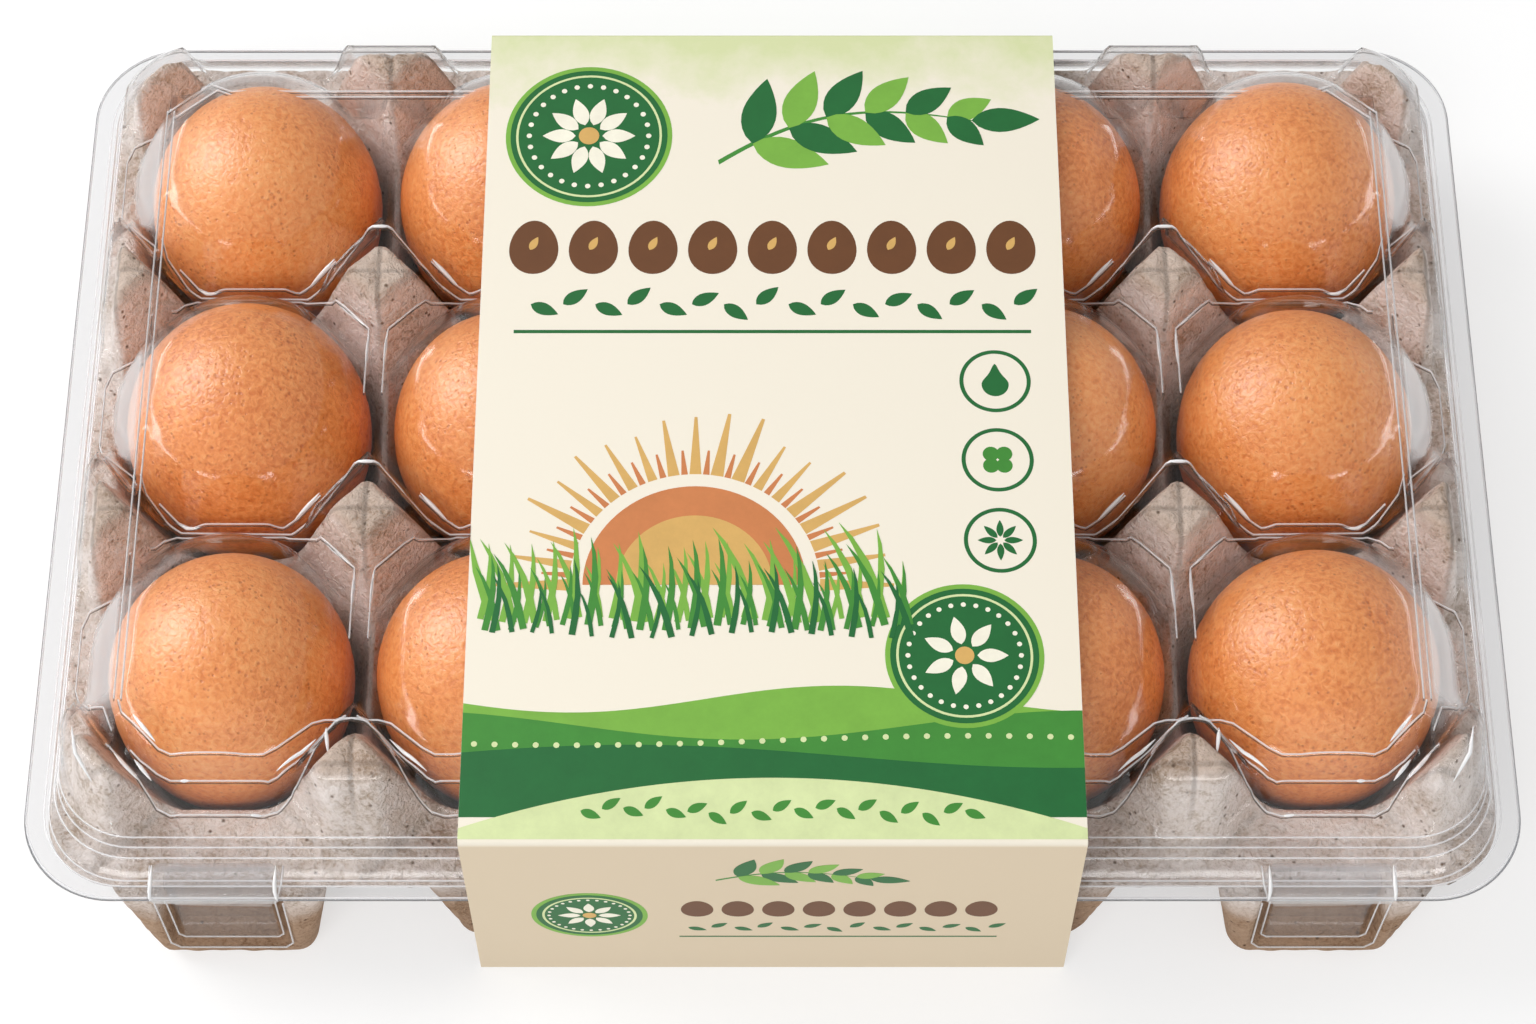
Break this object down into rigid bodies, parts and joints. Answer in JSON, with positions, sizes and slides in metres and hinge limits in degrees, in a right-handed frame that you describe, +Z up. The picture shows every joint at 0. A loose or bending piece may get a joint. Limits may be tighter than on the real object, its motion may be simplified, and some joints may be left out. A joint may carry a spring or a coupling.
{
  "type": "egg carton with eggs",
  "caption": "Shut egg carton: brown eggs in a moulded pulp tray under a clear formed lid, held by a plain-printed paper sleeve round the middle.",
  "frame": {"origin": "on the surface that the pack stands on, under the middle of its bounding box", "axes": "+X along the row of five eggs, to the viewer's right; +Y from the front edge with the two latches towards the rear; +Z up"},
  "size_m": [0.2714, 0.1872, 0.0603],
  "materials": {
    "pulp": "rough moulded paper pulp, grey-brown, with fibres and flecks",
    "clear_film": "clear glossy thermoformed film",
    "printed_paper": "smooth satin cream board with green and brown print",
    "eggshell": "matt orange-brown eggshell with fine pores"
  },
  "bodies": {
    "root": {"tray": "pulp", "lid": "clear_film", "sleeve": "printed_paper", "egg_row1_column1": "eggshell", "egg_row1_column2": "eggshell", "egg_row1_column3": "eggshell", "egg_row1_column4": "eggshell", "egg_row1_column5": "eggshell", "egg_row2_column1": "eggshell", "egg_row2_column2": "eggshell", "egg_row2_column3": "eggshell", "egg_row2_column4": "eggshell", "egg_row2_column5": "eggshell", "egg_row3_column1": "eggshell", "egg_row3_column2": "eggshell", "egg_row3_column3": "eggshell", "egg_row3_column4": "eggshell", "egg_row3_column5": "eggshell"}
  },
  "joints": []
}
